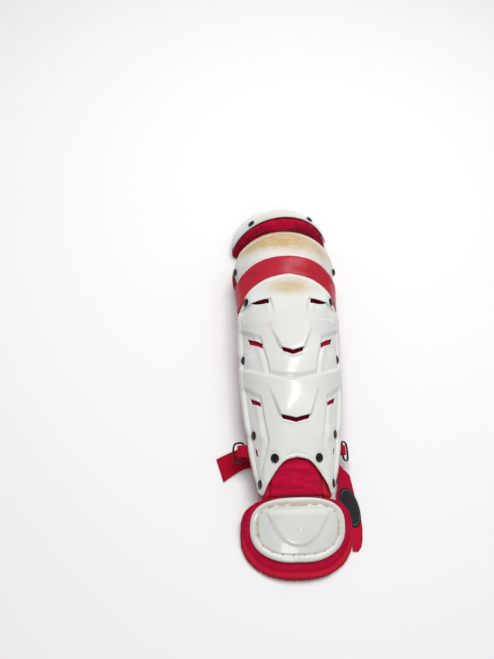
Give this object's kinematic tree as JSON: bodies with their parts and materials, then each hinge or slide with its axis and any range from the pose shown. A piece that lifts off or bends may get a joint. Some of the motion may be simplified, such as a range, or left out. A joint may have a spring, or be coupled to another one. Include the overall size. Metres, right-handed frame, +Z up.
{
  "type": "catcher leg guard",
  "caption": "Catcher's leg guard lying on its back: riveted shin shell with vents, knee cap and band, thigh and toe guards on red padding, with rings and straps.",
  "frame": {"origin": "middle of the underside of the whole guard as it lies on its back", "axes": "+Y from the toe to the thigh, +Z up out of the shells, +X to the right seen from the toe"},
  "size_m": [0.1986, 0.5928, 0.1115],
  "materials": {
    "white_plastic": "glossy moulded white plastic, yellowed where it is worn",
    "red_plastic": "glossy moulded red plastic",
    "red_cloth": "brushed red cloth over foam",
    "red_webbing": "woven red webbing",
    "black_cloth": "black rubbery patch with a stitched edge",
    "gunmetal": "dark gunmetal plating"
  },
  "bodies": {
    "root": {"shin_shell": "white_plastic", "knee_cap": "white_plastic", "knee_band": "red_plastic", "thigh_plate": "white_plastic", "toe_plate": "white_plastic", "shin_liner": "red_cloth", "knee_liner": "red_cloth", "thigh_pad": "red_cloth", "toe_pad": "red_cloth", "thigh_link_left": "red_webbing", "thigh_link_right": "red_webbing", "ring_tab_left": "red_webbing", "ring_tab_right": "red_webbing", "ring_left": "gunmetal", "ring_right": "gunmetal", "ankle_strap": "red_webbing", "calf_strap": "red_webbing", "knee_strap": "red_webbing", "instep_panel": "red_cloth", "instep_patch": "black_cloth", "rivet_top_left": "gunmetal", "rivet_top_right": "gunmetal", "rivet_calf_left": "gunmetal", "rivet_calf_right": "gunmetal", "rivet_low_left": "gunmetal", "rivet_low_right": "gunmetal", "rivet_arch_left": "gunmetal", "rivet_arch_right": "gunmetal", "rivet_tip_left": "gunmetal", "rivet_tip_right": "gunmetal", "rivet_knee_left": "gunmetal", "rivet_knee_right": "gunmetal", "rivet_thigh_left": "gunmetal", "rivet_thigh_right": "gunmetal"}
  },
  "joints": []
}
